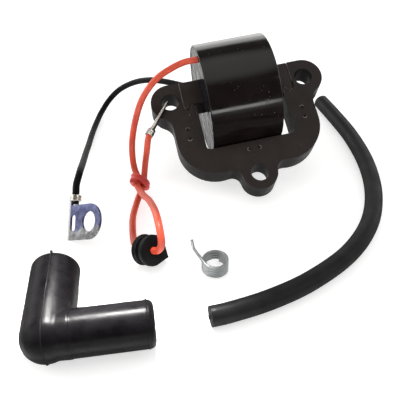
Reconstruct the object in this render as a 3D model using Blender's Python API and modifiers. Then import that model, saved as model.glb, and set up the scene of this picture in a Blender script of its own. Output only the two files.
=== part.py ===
"""Ignition coil set of a small outboard engine, laid out on a surface.

The coil stands on the lower lobe of its laminated core plate and on its high-tension tower. Around it lie
the high-tension lead, the right-angle spark plug boot and the boot's contact spring, all loose.

Sizes below are in millimetres. Pieces of the coil are drawn in the plate's own frame: its origin is the
middle of the lower mounting hole on the front face, x runs right, y runs up to the ears, z leaves the front
face. Loose pieces and leads are drawn in the layout's frame, whose z = 0 is the surface.
"""

import math

import bmesh
import bpy
from mathutils import Euler, Matrix, Vector

MM = 0.001
GAP = 0.3  # clearance between two pieces that meet

# The layout: where the middle of the set's footprint lies, and how the coil leans.
FOOTPRINT_CENTRE = (-2.34, 163.95)
PLATE_XY = (24.12, 177.74)
LEAN, ROLL, YAW = math.radians(30.87), math.radians(-5.92), math.radians(11.47)

# Core plate
PLATE_T = 10.0
HOLE_R = 3.7
EAR_X, EAR_Y, EAR_R = 28.8, 38.1, 8.1
LOBE_R = 7.2
SHOULDER_X, SHOULDER_Y, SHOULDER_R = 14.1, 18.6, 15.8
LOBE_FILLET, EAR_FILLET = 3.8, 6.0
WINDOW_X, WINDOW_Y, WINDOW_FILLET = 18.5, 13.8, 1.5

# Crossbar, with a rounded tooth at each end
BAR_X, BAR_LOW, BAR_TOP = 23.4, 35.2, 46.2
TOOTH_X, TOOTH_Y, TOOTH_R = 22.0, 34.8, 1.4

# Drum: case and potting, turned about a line along x
DRUM_Y, DRUM_Z, DRUM_R = 37.3, -2.0, 22.7
DRUM_LEFT, DRUM_RIGHT = -15.6, 13.3
CASE_WALL = 1.0
POTTING_RECESS = 0.3
CAVITY_LEFT, CAVITY_RIGHT = -11.3, 10.7

# Windings: each layer is a sleeve between two distances from the crossbar
BOBBIN_SLEEVE = (0.3, 1.3)
PRIMARY_LAYER = (1.6, 3.4)
INSULATION_LAYER = (3.7, 4.3)
SECONDARY_LAYER = (4.6, 7.6)
WRAP_LAYER = (7.9, 8.2)
CAVITY_LAYER = 8.6
BOBBIN_LEFT, BOBBIN_RIGHT, FLANGE_T = -11.0, 10.4, 1.0

# High-tension tower, straight out of the drum's back, and its screw spike
TOWER_X, TOWER_R = 4.0, 7.5
SOCKET_R, SOCKET_TOP = 3.9, -21.2
SPIKE_BASE_R, SPIKE_BASE_T, SPIKE_R, SPIKE_LONG = 3.4, 1.0, 1.2, 8.0
SPIKE_RIDGES, SPIKE_RIDGE_H = 6, 0.3

# Leads
PRIMARY_WIRE_R, GROUND_WIRE_R, HT_LEAD_R = 1.3, 1.35, 3.5
PRIMARY_EXIT = (46.7, 14.4)
GROUND_EXIT = (50.0, -11.0)
SPLICE_R = 1.0
HT_CORE_R, HT_CORE_DEEP, HT_CORE_PROUD = 0.8, 6.0, 0.5

# Each route is a list of points by hand, joined by one smooth curve.
PRIMARY_ROUTE = [
    (-6.0, 205.1, 46.2),
    (-10.0, 203.9, 44.9),
    (-15.9, 201.6, 42.0),
    (-20.3, 199.4, 38.0),
    (-24.0, 197.8, 32.0),
    (-26.6, 194.9, 24.5),
    (-27.9, 191.2, 17.8),
    (-28.0, 188.6, 11.6),
    (-27.2, 185.7, 7.8),
    (-25.9, 182.9, 6.2),
    (-25.7, 180.3, 5.8),
    (-25.6, 177.7, 5.7),
    (-24.3, 173.8, 6.1),
    (-21.8, 167.2, 8.5),
    (-19.2, 160.8, 11.6),
    (-16.4, 151.2, 15.4),
    (-14.5, 142.6, 17.4),
    (-13.5, 138.1, 16.0),
    (-13.15, 136.5, 13.2),
    (-13.6, 136.2, 10.8),
    (-14.9, 136.9, 8.7),
    (-16.15, 137.9, 7.79),
    (-18.22, 139.54, 6.39),
    (-20.3, 141.2, 5.0),
    (-21.3, 142.0, 4.3),
    (-22.6, 143.4, 3.5),
    (-23.7, 145.6, 2.6),
    (-24.9, 150.4, 1.7),
    (-25.8, 156.6, 1.5),
    (-26.2, 163.4, 1.5),
    (-25.3, 171.0, 2.1),
    (-23.8, 177.7, 3.4),
    (-23.5, 180.3, 3.8),
    (-23.3, 182.8, 4.3),
    (-23.1, 186.3, 6.7),
    (-22.7, 187.9, 9.8),
    (-22.1, 188.0, 13.4),
    (-21.5, 187.5, 17.2),
    (-21.1, 187.9, 20.2),
]
PRIMARY_END = (-20.5, 189.2, 22.2)
GROUND_ROUTE = [
    (-7.2, 222.8, 26.1),
    (-11.4, 226.0, 25.4),
    (-16.6, 230.2, 24.3),
    (-23.6, 236.3, 21.8),
    (-31.5, 242.3, 17.4),
    (-39.1, 246.2, 11.8),
    (-44.8, 246.0, 6.4),
    (-48.5, 239.8, 2.9),
    (-50.3, 230.0, 1.6),
    (-50.9, 220.5, 1.6),
    (-50.7, 210.5, 2.7),
    (-50.0, 201.0, 5.4),
    (-48.8, 192.0, 9.0),
    (-47.6, 184.0, 12.6),
    (-46.7, 177.5, 15.4),
    (-46.2, 172.5, 17.2),
    (-46.2, 168.3, 17.3),
]
HT_ROUTE = [
    (3.3, 112.5),
    (9.7, 114.3),
    (23.1, 119.5),
    (37.8, 127.7),
    (53.4, 140.7),
    (64.4, 156.6),
    (70.4, 175.0),
    (72.0, 195.0),
    (69.9, 215.4),
    (65.5, 233.4),
    (61.2, 248.0),
]

# Pin terminal on the primary lead
PIN_TIP = (-13.4, 202.9, 29.5)
BARREL_R, BARREL_LONG, PIN_R, PIN_GAP = 1.75, 7.2, 0.75, 0.6

# Tie around the two strands of the primary lead
TIE_AT = (-24.6, 180.3, 4.8)
TIE_AXIS = (0.0, 0.995, 0.1)
TIE_BORE_R, TIE_R, TIE_LONG = 3.3, 4.2, 4.6

# Ground terminal: its lowest corner, and the directions along its tongue and up its side
FLAG_CORNER = (-49.3, 150.8, 0.0)
FLAG_ALONG, FLAG_UP = (0.754, -0.445, 0.484), (0.019, 0.75, 0.661)
FLAG_HALF, FLAG_REACH, FLAG_T, FLAG_HOLE_R = 6.6, 12.3, 0.9, 3.7
FLAG_SLOT = (1.4, 4.4, -3.2, 3.0)
FLAG_STRIP = 1.6
CRIMP_U, CRIMP_LOW, CRIMP_HIGH = 3.3, 8.1, 10.4

# Grommet on the primary lead: the middle of its back face and its axis
GROMMET_BACK, GROMMET_AXIS = (-20.3, 141.2, 5.0), (0.69, -0.55, 0.463)
GROMMET_TAB = (0.667, 0.249, -0.698)
FLANGE_R, HUB_R, GROMMET_BORE_R = 5.6, 3.7, 1.8
GROMMET_STEPS = (0.0, 2.1, 4.0, 6.0)

# Spark plug boot: the corner of its two arms' axes, their headings and lengths
BOOT_CORNER = (-45.85, 101.4, 8.15)
PLUG_ARM_HEADING, LEAD_ARM_HEADING = math.radians(95.5), math.radians(8.8)
PLUG_ARM_R, PLUG_ARM_LONG, PLUG_BORE_R = 8.15, 28.0, 5.0
LEAD_ARM_R, LEAD_ARM_LONG, LEAD_BORE_R = 7.5, 32.5, 3.3
LIP_ROUND = 1.6

# Contact spring
SPRING_AT = (5.3, 136.2)
SPRING_R, SPRING_WIRE_R, SPRING_PITCH, SPRING_TURNS = 4.3, 0.45, 1.1, 4.6
SPRING_END_ANGLE = math.radians(212)
SPRING_LEG = [(-1.8, 140.2), (-2.4, 140.9, 6.6), (-2.9, 141.7, 9.2)]


def clear_scene():
    for thing in list(bpy.data.objects):
        bpy.data.objects.remove(thing, do_unlink=True)


def new_collection(name):
    made = bpy.data.collections.new(name)
    bpy.context.scene.collection.children.link(made)
    return made


def make_material(name, colour, roughness, metallic=0.0):
    made = bpy.data.materials.new(name)
    made.use_nodes = True
    shader = made.node_tree.nodes["Principled BSDF"]
    shader.inputs["Base Color"].default_value = (*colour, 1.0)
    shader.inputs["Roughness"].default_value = roughness
    shader.inputs["Metallic"].default_value = metallic
    return made


clear_scene()
PARTS = new_collection("ignition_coil")
CUTTERS = new_collection("cutters")
MATERIALS = {
    "core_coat": make_material("core_coat", (0.045, 0.038, 0.033), 0.45, 0.3),
    "case_plastic": make_material("case_plastic", (0.012, 0.012, 0.013), 0.12),
    "potting_resin": make_material("potting_resin", (0.02, 0.02, 0.022), 0.1),
    "bobbin_plastic": make_material("bobbin_plastic", (0.6, 0.55, 0.42), 0.5),
    "copper": make_material("copper", (0.72, 0.33, 0.16), 0.35, 1.0),
    "insulation_paper": make_material("insulation_paper", (0.72, 0.6, 0.38), 0.8),
    "tinned_metal": make_material("tinned_metal", (0.72, 0.71, 0.68), 0.3, 1.0),
    "orange_wire": make_material("orange_wire", (0.8, 0.14, 0.06), 0.4),
    "black_wire": make_material("black_wire", (0.02, 0.02, 0.02), 0.4),
    "lead_jacket": make_material("lead_jacket", (0.03, 0.03, 0.03), 0.35),
    "rubber": make_material("rubber", (0.025, 0.025, 0.027), 0.45),
    "plated_steel": make_material("plated_steel", (0.4, 0.42, 0.55), 0.3, 1.0),
    "spring_steel": make_material("spring_steel", (0.7, 0.71, 0.72), 0.25, 1.0),
}


def plate_seat():
    """An empty at the plate's origin, at the height that stands the lobe's back edge on the surface."""
    turn = Euler((LEAN, ROLL, YAW)).to_matrix()
    slope = math.hypot(turn[2][0], turn[2][1])
    seat = bpy.data.objects.new("plate_seat", None)
    x, y = (PLATE_XY[i] - FOOTPRINT_CENTRE[i] for i in (0, 1))
    seat.location = Vector((x, y, LOBE_R * slope + PLATE_T * turn[2][2])) * MM
    seat.rotation_euler = (LEAN, ROLL, YAW)
    PARTS.objects.link(seat)
    bpy.context.view_layer.update()
    return seat


SEAT = plate_seat()


def in_layout(point):
    """A layout point, in millimetres, as a place in metres."""
    x, y, z = point
    return Vector((x - FOOTPRINT_CENTRE[0], y - FOOTPRINT_CENTRE[1], z)) * MM


def on_plate(point):
    """A plate point, in millimetres, as a place in metres."""
    return SEAT.matrix_world @ (Vector(point) * MM)


def frame_of(origin, along, up):
    """A matrix whose x runs along, whose y is as near up as it can be, at an origin in metres."""
    x = Vector(along).normalized()
    z = x.cross(Vector(up)).normalized()
    turn = Matrix((x, z.cross(x), z)).transposed()
    return Matrix.Translation(origin) @ turn.to_4x4()


def show(thing, material, parent=None):
    thing.data.materials.clear()
    thing.data.materials.append(MATERIALS[material])
    PARTS.objects.link(thing)
    thing.parent = parent
    return thing


def cut(thing, cutter, operation="DIFFERENCE", parent=None):
    """Cuts one object with another, or joins it on, and hides that other."""
    CUTTERS.objects.link(cutter)
    cutter.parent = parent
    cutter.hide_render = True
    cutter.display_type = "WIRE"
    step = thing.modifiers.new(cutter.name, "BOOLEAN")
    step.operation = operation
    step.object = cutter
    step.solver = "EXACT"


def round_shading(thing, angle=40):
    thing.data.shade_smooth()
    thing.data.set_sharp_from_angle(angle=math.radians(angle))
    return thing


def bar(name, radius, low, high, place, steps=48):
    """A round bar along the z axis of the matrix place, from low to high."""
    mesh = bpy.data.meshes.new(name)
    shape = bmesh.new()
    size = (high - low) * MM
    middle = Matrix.Translation((0, 0, (low + high) / 2 * MM))
    bmesh.ops.create_cone(
        shape,
        cap_ends=True,
        segments=steps,
        radius1=radius * MM,
        radius2=radius * MM,
        depth=size,
        matrix=place @ middle,
    )
    shape.to_mesh(mesh)
    shape.free()
    return round_shading(bpy.data.objects.new(name, mesh))


def drum_place(y=DRUM_Y, z=DRUM_Z):
    """The matrix whose z axis runs along the drum, through the plate point (0, y, z)."""
    turn = Matrix(((0, 0, 1), (1, 0, 0), (0, 1, 0))).to_4x4()
    return Matrix.Translation(Vector((0, y, z)) * MM) @ turn


def to_mesh_object(curve_object):
    """Turns a curve object into a closed mesh object and removes the curve."""
    bpy.context.scene.collection.objects.link(curve_object)
    bpy.context.view_layer.update()
    evaluated = curve_object.evaluated_get(bpy.context.evaluated_depsgraph_get())
    mesh = bpy.data.meshes.new_from_object(evaluated)
    shape = bmesh.new()
    shape.from_mesh(mesh)
    bmesh.ops.remove_doubles(shape, verts=shape.verts, dist=0.002 * MM)
    bmesh.ops.recalc_face_normals(shape, faces=shape.faces)
    shape.to_mesh(mesh)
    shape.free()
    name = curve_object.name
    place = curve_object.matrix_world.copy()
    bpy.data.objects.remove(curve_object)
    mesh.name = name
    made = bpy.data.objects.new(name, mesh)
    made.matrix_world = place
    return made


def flat_piece(name, loops, low, high, place=None):
    """A flat piece cut from closed loops of (x, y), from low to high along z, moved by the matrix place."""
    curve = bpy.data.curves.new(name, "CURVE")
    curve.dimensions = "2D"
    curve.fill_mode = "BOTH"
    curve.extrude = (high - low) / 2 * MM
    for loop in loops:
        spline = curve.splines.new("POLY")
        spline.points.add(len(loop) - 1)
        spline.use_cyclic_u = True
        for point, (x, y) in zip(spline.points, loop):
            point.co = (x * MM, y * MM, 0.0, 1.0)
    made = to_mesh_object(bpy.data.objects.new(name, curve))
    move = (place or Matrix()) @ Matrix.Translation((0, 0, (low + high) / 2 * MM))
    made.data.transform(move)
    return round_shading(made)


def turned(name, profile, place, steps=32):
    """A turned piece: a profile of (radius, height) that runs down its outer side, about place's z axis."""
    mesh = bpy.data.meshes.new(name)
    points = [(r * MM, 0.0, h * MM) for r, h in profile]
    mesh.from_pydata(points, [(i, i + 1) for i in range(len(points) - 1)], [])
    made = bpy.data.objects.new(name, mesh)
    spin = made.modifiers.new("spin", "SCREW")
    spin.steps = steps
    spin.render_steps = steps
    spin.use_merge_vertices = True
    spin.merge_threshold = 0.01 * MM
    spin.use_smooth_shade = True
    made.matrix_world = place
    return made


def arc(centre, radius, start, end, steps):
    """Points of a circle from one angle to another, in degrees."""
    turn = [math.radians(start + (end - start) * i / steps) for i in range(steps + 1)]
    return [(centre[0] + radius * math.cos(a), centre[1] + radius * math.sin(a)) for a in turn]


def circle(centre, radius, steps=32):
    return arc(centre, radius, 0, 360, steps)[:-1]


def rounded_box(y0, y1, z0, z1, radius, steps=5):
    """A rectangle with round corners, counter-clockwise."""
    if radius <= 0:
        return [(y0, z0), (y1, z0), (y1, z1), (y0, z1)]
    corners = ((y1, z0, 1, -1), (y1, z1, 1, 1), (y0, z1, -1, 1), (y0, z0, -1, -1))
    points = []
    for quarter, (y, z, sy, sz) in enumerate(corners):
        centre = (y - sy * radius, z - sz * radius)
        points += arc(centre, radius, -90 + 90 * quarter, 90 * quarter, steps)
    return points


def smooth_route(points, spacing):
    """Points about one spacing apart on a smooth curve (Catmull-Rom) through the given ones, in millimetres."""
    route = [Vector(p) for p in points]
    ends = [2 * route[0] - route[1], *route, 2 * route[-1] - route[-2]]
    dense = []
    for a, b, c, d in zip(ends, ends[1:], ends[2:], ends[3:]):
        for i in range(20):
            t = i / 20
            pull = (2 * a - 5 * b + 4 * c - d) * t * t + (3 * b - a - 3 * c + d) * t**3
            dense.append((2 * b + (c - a) * t + pull) / 2)
    dense.append(route[-1])
    lengths = [0.0]
    for p, q in zip(dense, dense[1:]):
        lengths.append(lengths[-1] + (q - p).length)
    count = max(2, round(lengths[-1] / spacing))
    picked = []
    at = 0
    for i in range(count + 1):
        wanted = lengths[-1] * i / count
        while at < len(lengths) - 2 and lengths[at + 1] < wanted:
            at += 1
        share = (wanted - lengths[at]) / (lengths[at + 1] - lengths[at])
        picked.append(dense[at].lerp(dense[at + 1], min(max(share, 0.0), 1.0)))
    return picked


def tube(name, points, radius, resolution=2):
    """A round tube with closed ends along points in metres, as a curve object."""
    curve = bpy.data.curves.new(name, "CURVE")
    curve.dimensions = "3D"
    curve.bevel_depth = radius * MM
    curve.bevel_resolution = resolution
    curve.use_fill_caps = True
    spline = curve.splines.new("POLY")
    spline.points.add(len(points) - 1)
    for point, place in zip(spline.points, points):
        point.co = (*place, 1.0)
    return bpy.data.objects.new(name, curve)


def fillet_between(centre_a, radius_a, centre_b, radius_b, radius):
    """The centre of a circle that touches two others from outside, on the right of the way from a to b."""
    a, b = Vector(centre_a), Vector(centre_b)
    apart = (b - a).length
    reach_a, reach_b = radius_a + radius, radius_b + radius
    along = (reach_a**2 - reach_b**2 + apart**2) / (2 * apart)
    off = math.sqrt(reach_a**2 - along**2)
    way = (b - a) / apart
    return a + way * along + Vector((way.y, -way.x)) * off


def heading(centre, other):
    return math.degrees(math.atan2(other[1] - centre[1], other[0] - centre[0]))


def mirrored(half):
    """A loop from its right half, which starts and ends on the middle line."""
    return half + [(-x, y) for x, y in reversed(half) if x > 1e-6]


def plate_half():
    """The right half of the core plate's outline, from the lobe's foot round to the window's near edge."""
    lobe, shoulder = (0.0, 0.0), (SHOULDER_X, SHOULDER_Y)
    near = fillet_between(lobe, LOBE_R, shoulder, SHOULDER_R, LOBE_FILLET)
    side = SHOULDER_X + SHOULDER_R
    ear_x = side + EAR_FILLET
    drop = math.sqrt((EAR_R + EAR_FILLET) ** 2 - (ear_x - EAR_X) ** 2)
    ear_low = (ear_x, EAR_Y - drop)
    socket_r = TOOTH_R + GAP
    half = arc(lobe, LOBE_R, -90, heading(lobe, near), 12)
    half += arc(near, LOBE_FILLET, heading(near, lobe), heading(near, shoulder), 6)
    half += arc(shoulder, SHOULDER_R, heading(shoulder, near), 0, 14)
    half += arc(ear_low, EAR_FILLET, 180, heading(ear_low, (EAR_X, EAR_Y)), 7)
    half += arc((EAR_X, EAR_Y), EAR_R, heading((EAR_X, EAR_Y), ear_low), 90, 16)
    half += [(BAR_X + GAP, BAR_TOP)]
    half += arc((TOOTH_X, TOOTH_Y), socket_r, 0, -180, 10)
    half += [(TOOTH_X - socket_r, BAR_LOW - GAP), (WINDOW_X, BAR_LOW - GAP)]
    corner = (WINDOW_X - WINDOW_FILLET, WINDOW_Y + WINDOW_FILLET)
    half += arc(corner, WINDOW_FILLET, 0, -90, 5)
    return half + [(0.0, WINDOW_Y)]


def core_plate():
    holes = [circle(c, HOLE_R) for c in ((0, 0), (EAR_X, EAR_Y), (-EAR_X, EAR_Y))]
    plate = flat_piece("core_plate", [mirrored(plate_half()), *holes], -PLATE_T, 0)
    show(plate, "core_coat", SEAT)


def crossbar():
    half = [(0.0, BAR_LOW), (TOOTH_X - TOOTH_R, BAR_LOW)]
    half += arc((TOOTH_X, TOOTH_Y), TOOTH_R, -180, 0, 10)
    half += [(BAR_X, BAR_TOP), (0.0, BAR_TOP)]
    show(flat_piece("crossbar", [mirrored(half)], -PLATE_T, 0), "core_coat", SEAT)


def bar_section(offset):
    """The crossbar's cross-section grown by an offset, as a loop of (y, z)."""
    y0, y1, z0, z1 = BAR_LOW - offset, BAR_TOP + offset, -PLATE_T - offset, offset
    return rounded_box(y0, y1, z0, z1, 0 if offset <= 0.5 else offset)


def sleeve(name, layer, left, right):
    """A sleeve around the crossbar, between two offsets from it."""
    loops = [bar_section(layer[1]), bar_section(layer[0])]
    return flat_piece(name, loops, left, right, drum_place(0, 0))


def tower_end():
    """How far back the tower reaches, in the plate's frame, to stand on the surface."""
    turn = SEAT.matrix_world.to_3x3()
    slope = math.hypot(turn[2][0], turn[2][1])
    foot = SEAT.location.z / MM + turn[2][0] * TOWER_X + turn[2][1] * DRUM_Y
    return -(foot - TOWER_R * slope) / turn[2][2]


def tower_place():
    return Matrix.Translation(Vector((TOWER_X, DRUM_Y, 0)) * MM)


def coil_case():
    case = bar("coil_case", DRUM_R, DRUM_LEFT, DRUM_RIGHT, drum_place(), 72)
    show(case, "case_plastic", SEAT)
    end = tower_end()
    tower = bar("tower_body", TOWER_R, end, DRUM_Z - DRUM_R + 6, tower_place())
    cut(case, tower, "UNION", SEAT)
    inside = DRUM_R - CASE_WALL
    hollow = bar("case_hollow", inside, DRUM_LEFT - 2, DRUM_RIGHT + 2, drum_place(), 72)
    cut(case, hollow, parent=SEAT)
    socket = bar("tower_socket", SOCKET_R, end - 2, SOCKET_TOP + 3, tower_place())
    cut(case, socket, parent=SEAT)


def potting():
    outside = DRUM_R - CASE_WALL - GAP
    left, right = DRUM_LEFT + POTTING_RECESS, DRUM_RIGHT - POTTING_RECESS
    block = bar("potting", outside, left, right, drum_place(), 72)
    show(block, "potting_resin", SEAT)
    along = drum_place(0, 0)
    cavity = flat_piece(
        "winding_cavity", [bar_section(CAVITY_LAYER)], CAVITY_LEFT, CAVITY_RIGHT, along
    )
    passage = flat_piece("bar_passage", [bar_section(GAP)], left - 2, right + 2, along)
    wire_hole = bar(
        "primary_wire_hole", PRIMARY_WIRE_R + GAP, left - 2, -5.0, drum_place(*PRIMARY_EXIT), 20
    )
    ground_hole = bar(
        "ground_wire_hole", GROUND_WIRE_R + GAP, left - 2, CAVITY_LEFT + 1, drum_place(*GROUND_EXIT), 20
    )
    spike_seat = bar("spike_seat", SOCKET_R, DRUM_Z - DRUM_R - 2, SOCKET_TOP, tower_place())
    for cutter in (cavity, passage, wire_hole, ground_hole, spike_seat):
        cut(block, cutter, parent=SEAT)


def bobbin():
    """A former with a flange at each end: a block, waisted between its flanges, with a way through."""
    along = drum_place(0, 0)
    block = flat_piece("bobbin", [bar_section(WRAP_LAYER[1])], BOBBIN_LEFT, BOBBIN_RIGHT, along)
    show(block, "bobbin_plastic", SEAT)
    waist = (BOBBIN_SLEEVE[1], WRAP_LAYER[1] + 2)
    cut(block, sleeve("bobbin_waist", waist, BOBBIN_LEFT + FLANGE_T, BOBBIN_RIGHT - FLANGE_T), parent=SEAT)
    way = [bar_section(BOBBIN_SLEEVE[0])]
    cut(block, flat_piece("bobbin_way", way, BOBBIN_LEFT - 2, BOBBIN_RIGHT + 2, along), parent=SEAT)


def windings():
    left, right = BOBBIN_LEFT + FLANGE_T + GAP, BOBBIN_RIGHT - FLANGE_T - GAP
    layers = (
        ("primary_winding", PRIMARY_LAYER, "copper"),
        ("layer_insulation", INSULATION_LAYER, "insulation_paper"),
        ("secondary_winding", SECONDARY_LAYER, "copper"),
        ("outer_wrap", WRAP_LAYER, "insulation_paper"),
    )
    for name, layer, material in layers:
        show(sleeve(name, layer, left, right), material, SEAT)


def ht_spike():
    top = SOCKET_TOP - GAP
    low = top - SPIKE_BASE_T
    profile = [(0, top), (SPIKE_BASE_R, top), (SPIKE_BASE_R, low), (SPIKE_R, low)]
    pitch = SPIKE_LONG / (SPIKE_RIDGES + 2)
    for i in range(SPIKE_RIDGES):
        step = low - pitch * (i + 1)
        profile += [(SPIKE_R, step + 0.3 * pitch), (SPIKE_R + SPIKE_RIDGE_H, step)]
        profile += [(SPIKE_R, step - 0.3 * pitch)]
    profile += [(0, low - SPIKE_LONG)]
    spike = turned("ht_spike", profile, tower_place(), 24)
    show(spike, "tinned_metal", SEAT)


def splices():
    """The crimped joints that end each lead inside the potting."""
    places = (
        ("primary_splice", -11.6, -5.4, PRIMARY_EXIT),
        ("ground_splice", -13.3, -11.6, GROUND_EXIT),
    )
    for name, low, high, (y, z) in places:
        show(bar(name, SPLICE_R, low, high, drum_place(y, z), 20), "copper", SEAT)


def primary_lead():
    y, z = PRIMARY_EXIT
    start = [on_plate((x, y, z)) / MM for x in (-12.0, -14.5, -17.5)]
    shift = Vector((*FOOTPRINT_CENTRE, 0))
    route = [p + shift for p in start] + [Vector(p) for p in (*PRIMARY_ROUTE, PRIMARY_END)]
    points = [in_layout(p) for p in smooth_route(route, 2.7)]
    show(tube("primary_lead", points, PRIMARY_WIRE_R), "orange_wire")


def ground_lead():
    y, z = GROUND_EXIT
    start = [on_plate((x, y, z)) / MM for x in (-13.6, -15.5, -18.0)]
    shift = Vector((*FOOTPRINT_CENTRE, 0))
    place = flag_place()
    crimp = [place @ (Vector((CRIMP_U, v, 0)) * MM) / MM for v in (14.5, 12.5, 9.5, 7.0)]
    route = [p + shift for p in start] + [Vector(p) for p in GROUND_ROUTE]
    route += [p + shift for p in crimp]
    points = [in_layout(p) for p in smooth_route(route, 3.6)]
    show(tube("ground_lead", points, GROUND_WIRE_R), "black_wire")


def pin_terminal():
    """A crimp barrel around the conductor, drawn down to a solid round pin."""
    start, tip = Vector(PRIMARY_END), Vector(PIN_TIP)
    way = (tip - start).normalized()
    base = in_layout(start + way * PIN_GAP)
    place = Matrix.Translation(base) @ way.to_track_quat("Z", "Y").to_matrix().to_4x4()
    long = (tip - start).length - PIN_GAP
    profile = [
        (0, long),
        (PIN_R * 0.6, long - 0.3),
        (PIN_R, long - 1.2),
        (PIN_R, BARREL_LONG + 1.2),
        (BARREL_R * 0.8, BARREL_LONG),
        (BARREL_R * 0.8, BARREL_LONG * 0.6),
        (BARREL_R, BARREL_LONG * 0.5),
        (BARREL_R, 0),
        (0, 0),
    ]
    show(turned("pin_terminal", profile, place, 20), "tinned_metal")


def wire_tie():
    """A short collar that holds two strands of the primary lead side by side."""
    way = Vector(TIE_AXIS).normalized()
    turn = way.to_track_quat("Z", "Y").to_matrix().to_4x4()
    place = Matrix.Translation(in_layout(TIE_AT)) @ turn
    half = TIE_LONG / 2
    profile = [
        (TIE_BORE_R, half),
        (TIE_R - 0.3, half),
        (TIE_R, half - 0.6),
        (TIE_R, -half + 0.6),
        (TIE_R - 0.3, -half),
        (TIE_BORE_R, -half),
        (TIE_BORE_R, half),
    ]
    show(turned("wire_tie", profile, place, 24), "orange_wire")


def flag_place():
    """The ground terminal's frame: x along its tongue, y up its side, its middle line at y = 0."""
    corner = in_layout(FLAG_CORNER)
    along, up = Vector(FLAG_ALONG).normalized(), Vector(FLAG_UP).normalized()
    place = frame_of(corner, along, up)
    half_height = place.to_3x3() @ Vector((0, FLAG_HALF * MM, 0))
    back = place.to_3x3() @ Vector((0, 0, FLAG_T / 2 * MM))
    return Matrix.Translation(half_height + back) @ place


def ground_terminal():
    place = flag_place()
    tongue = [(0, -FLAG_HALF), (FLAG_REACH, -FLAG_HALF)]
    tongue += arc((FLAG_REACH, 0), FLAG_HALF, -90, 90, 16)[1:]
    tongue += [(FLAG_STRIP, FLAG_HALF), (FLAG_STRIP, CRIMP_HIGH), (0, CRIMP_HIGH)]
    hole = circle((FLAG_REACH, 0), FLAG_HOLE_R, 28)
    slot = rounded_box(*FLAG_SLOT, 1.2, 4)
    half = FLAG_T / 2
    flag = flat_piece("ground_terminal", [tongue, hole, slot], -half, half, place)
    show(flag, "plated_steel")
    turn = Matrix.Rotation(math.radians(-90), 4, "X")
    axis = place @ Matrix.Translation(Vector((CRIMP_U, 0, 0)) * MM) @ turn
    bore = GROUND_WIRE_R + GAP
    band = bar("crimp_band", bore + 0.6, CRIMP_LOW, CRIMP_HIGH, axis, 24)
    cut(flag, band, "UNION")
    cut(flag, bar("crimp_bore", bore, CRIMP_LOW - 0.5, CRIMP_HIGH + 2, axis, 24))


def grommet():
    """Two flanges on a hub; the front one has a square corner that stops it turning in its bracket."""
    axis, tab = Vector(GROMMET_AXIS).normalized(), Vector(GROMMET_TAB).normalized()
    tab = (tab - axis * tab.dot(axis)).normalized()
    turn = Matrix((tab, axis.cross(tab), axis)).transposed().to_4x4()
    place = Matrix.Translation(in_layout(GROMMET_BACK)) @ turn
    low, hub_low, hub_high, high = GROMMET_STEPS
    corner = FLANGE_R * math.sqrt(2)
    outline = arc((0, 0), FLANGE_R, 45, 315, 26) + [(corner, 0)]
    body = flat_piece("grommet", [circle((0, 0), FLANGE_R)], low, hub_low, place)
    show(body, "rubber")
    hub = bar("grommet_hub", HUB_R, hub_low - 0.5, hub_high + 0.5, place, 32)
    cut(body, hub, "UNION")
    cut(body, flat_piece("grommet_front", [outline], hub_high, high, place), "UNION")
    cut(body, bar("grommet_bore", GROMMET_BORE_R, low - 1, high + 1, place, 24))


def boot_arm(name, angle, radius, long):
    """One arm of the boot: a round bar from the corner, with a rounded lip at its open end."""
    way = Vector((math.cos(angle), math.sin(angle), 0))
    turn = way.to_track_quat("Z", "Y").to_matrix().to_4x4()
    place = Matrix.Translation(in_layout(BOOT_CORNER)) @ turn
    lip = arc((radius - LIP_ROUND, long - LIP_ROUND), LIP_ROUND, 90, 0, 5)
    return turned(name, [(0, long), *lip, (radius, 0), (0, 0)], place, 40), place


def plug_boot():
    body, plug_place = boot_arm("plug_boot", PLUG_ARM_HEADING, PLUG_ARM_R, PLUG_ARM_LONG)
    show(body, "rubber")
    arm, lead_place = boot_arm("lead_arm", LEAD_ARM_HEADING, LEAD_ARM_R, LEAD_ARM_LONG)
    cut(body, arm, "UNION")
    mesh = bpy.data.meshes.new("boot_corner")
    ball = bmesh.new()
    bmesh.ops.create_uvsphere(ball, u_segments=40, v_segments=20, radius=(PLUG_ARM_R - 0.01) * MM)
    ball.transform(plug_place)
    ball.to_mesh(mesh)
    ball.free()
    cut(body, bpy.data.objects.new("boot_corner", mesh), "UNION")
    cut(body, bar("plug_bore", PLUG_BORE_R, 0, PLUG_ARM_LONG + 2, plug_place, 32))
    cut(body, bar("lead_bore", LEAD_BORE_R, 0, LEAD_ARM_LONG + 2, lead_place, 32))


def contact_spring():
    """A close coil whose top turn leaves it as a straight leg with an upturned end."""
    cx, cy = SPRING_AT
    steps = round(SPRING_TURNS * 16)
    top = SPRING_WIRE_R + SPRING_PITCH * SPRING_TURNS
    points = []
    for i in range(steps + 1):
        share = 1 - i / steps
        angle = SPRING_END_ANGLE + share * SPRING_TURNS * math.tau
        height = top - share * SPRING_PITCH * SPRING_TURNS
        points.append((cx + SPRING_R * math.cos(angle), cy + SPRING_R * math.sin(angle), height))
    leg = [(*SPRING_LEG[0], top), *SPRING_LEG[1:]]
    show(tube("contact_spring", [in_layout(p) for p in points + leg], SPRING_WIRE_R), "spring_steel")


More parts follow.
